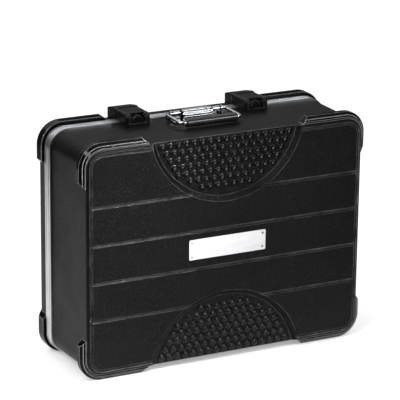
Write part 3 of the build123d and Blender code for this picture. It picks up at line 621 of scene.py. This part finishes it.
# Fitted to the photograph: the camera's axes and place
CAMERA_LENS = 203.2
CAMERA_SENSOR = 36.0
CAMERA_RIGHT = Vector((0.8855818, -0.46436392, 0.01053708))
CAMERA_UPWARD = Vector((0.12809456, 0.26596745, 0.95543346))
CAMERA_BACK = Vector((-0.44647135, -0.84476474, 0.29501843))
CAMERA_PLACE = Vector((-1.665395, -3.195269 + PARTING_Y, 1.151254 + MIDDLE_Z))

camera_data = bpy.data.cameras.new("camera")
camera_data.lens = CAMERA_LENS
camera_data.sensor_width = CAMERA_SENSOR
camera_data.clip_end = 60.0
camera = bpy.data.objects.new("camera", camera_data)
scene.collection.objects.link(camera)
camera_axes = Matrix((CAMERA_RIGHT, CAMERA_UPWARD, CAMERA_BACK)).transposed()
camera.matrix_world = Matrix.Translation(CAMERA_PLACE) @ camera_axes.to_4x4()
scene.camera = camera


# ---- floor, world, cards ---------------------------------------------------------------

FLOOR_HALF = 6
FLOOR_TONES = ((0.77, 0.77, 0.77), (0.79, 0.79, 0.79))
FLOOR_WHITE = 0.3  # share of plain white that the camera and reflections see on the floor
AMBIENT = 1.3  # the light is about twice the plain level


def stage_mesh(name, points, faces):
    data = bpy.data.meshes.new(name)
    data.from_pydata(points, [], faces)
    made = bpy.data.objects.new(name, data)
    scene.collection.objects.link(made)
    return made


floor_corners = [
    (-FLOOR_HALF, -FLOOR_HALF, 0), (FLOOR_HALF, -FLOOR_HALF, 0),
    (FLOOR_HALF, FLOOR_HALF, 0), (-FLOOR_HALF, FLOOR_HALF, 0),
]
floor = stage_mesh("floor", floor_corners, [(0, 1, 2, 3)])
floor_material = Material("floor_pale", roughness=0.9, specular=0.2)
floor_material.colour(floor_material.mixed(floor_material.noise(3.0), *FLOOR_TONES))
floor_material.blended(
    floor_material.maths("MULTIPLY", floor_material.seen(), FLOOR_WHITE),
    floor_material.bsdf.outputs["BSDF"],
    floor_material.node("ShaderNodeEmission").outputs["Emission"],
    floor_material.tree.nodes["Material Output"].inputs["Surface"],
)
floor.data.materials.append(floor_material.data)

scene.world = bpy.data.worlds.new("studio")
scene.world.use_nodes = True
sky = Nodes(scene.world.node_tree)
sky.tree.nodes.clear()


def background(strength):
    made = sky.node("ShaderNodeBackground")
    made.inputs["Color"].default_value = (1.0, 1.0, 1.0, 1.0)
    made.inputs["Strength"].default_value = strength
    return made.outputs["Background"]


sky_output = sky.node("ShaderNodeOutputWorld")
sky.blended(sky.seen(), background(AMBIENT), background(1.0), sky_output.inputs["Surface"])

# Dark cards round the white table: only reflections show them, as a dark band
CARD_PROFILE = ((1.05, 0.004), (3.6, 0.02), (3.6, 1.85))  # radius and height
CARD_INNER = 2.0  # a smaller radius is the inner edge
CARD_UPPER = 1.0  # a greater height is the upper edge
CARD_SIDES = 48
CARD_SHIFT = 0.3  # towards the back
CARD_FRONT_SHARE = 0.52  # inner edge in front, of its distance at the sides
CARD_FRONT_TOP = 7.5  # the card is this high in front
CARD_TONES = ((0.015, 0.015, 0.015), (0.02, 0.02, 0.02))


def card_points():
    points = []
    for side in range(CARD_SIDES):
        angle = 2 * math.pi * side / CARD_SIDES
        ahead = max(-math.sin(angle), 0.0)
        for radius, z in CARD_PROFILE:
            reach, rise = radius, z
            if radius < CARD_INNER:
                reach = radius * (1.0 - ahead * (1.0 - CARD_FRONT_SHARE))
            if z > CARD_UPPER:
                rise = z + ahead * (CARD_FRONT_TOP - z)
            points.append((reach * math.cos(angle), CARD_SHIFT + reach * math.sin(angle), rise))
    return points


def card_faces():
    count = len(CARD_PROFILE)
    faces = []
    for side in range(CARD_SIDES):
        for step in range(count - 1):
            now = count * side + step
            after = count * ((side + 1) % CARD_SIDES) + step
            faces.append((now, after, after + 1, now + 1))
    return faces


ring = stage_mesh("dark_cards", card_points(), card_faces())
card_material = Material("dark_card", roughness=1.0, specular=0.0)
card_material.colour(card_material.mixed(card_material.noise(2.0), *CARD_TONES))
ring.data.materials.append(card_material.data)
for kind in ("camera", "diffuse", "transmission", "volume_scatter", "shadow"):
    setattr(ring, f"visible_{kind}", False)


# ---- lamps -----------------------------------------------------------------------------

CASE_MIDDLE = (0.0, 0.0, 0.2)
# Name, place, aim, size, power in watts and spread in degrees
LAMPS = (
    ("overhead", (-0.2, 0.45, 2.4), CASE_MIDDLE, 1.4, 16.0, 180.0),
    ("key_right", (1.2, -2.0, 1.3), CASE_MIDDLE, 0.5, 14.0, 180.0),
    ("key_left", (-1.62, -1.19, 2.06), (0.1, -0.09, 0.12), 0.6, 1.4, 24.0),
    ("panel_accent", (0.27, -0.98, 0.14), (-0.2, -0.09, 0.33), 0.25, 4.0, 180.0),
    ("groove_accent", (0.107, -0.467, 0.75), (-0.25, -0.09, 0.16), 0.12, 0.8, 36.0),
    ("left_fill", (-2.0, 0.3, 1.7), CASE_MIDDLE, 1.2, 16.0, 180.0),
)


def softbox(name, place, aim, size, power, spread):
    """Square area lamp that faces a point."""
    lamp_data = bpy.data.lights.new(name, "AREA")
    lamp_data.shape = "SQUARE"
    lamp_data.size = size
    lamp_data.energy = power
    lamp_data.spread = math.radians(spread)
    lamp = bpy.data.objects.new(name, lamp_data)
    scene.collection.objects.link(lamp)
    lamp.location = place
    lamp.rotation_euler = (Vector(aim) - Vector(place)).to_track_quat("-Z", "Y").to_euler()


for row in LAMPS:
    softbox(*row)

scene.view_settings.view_transform = "Standard"
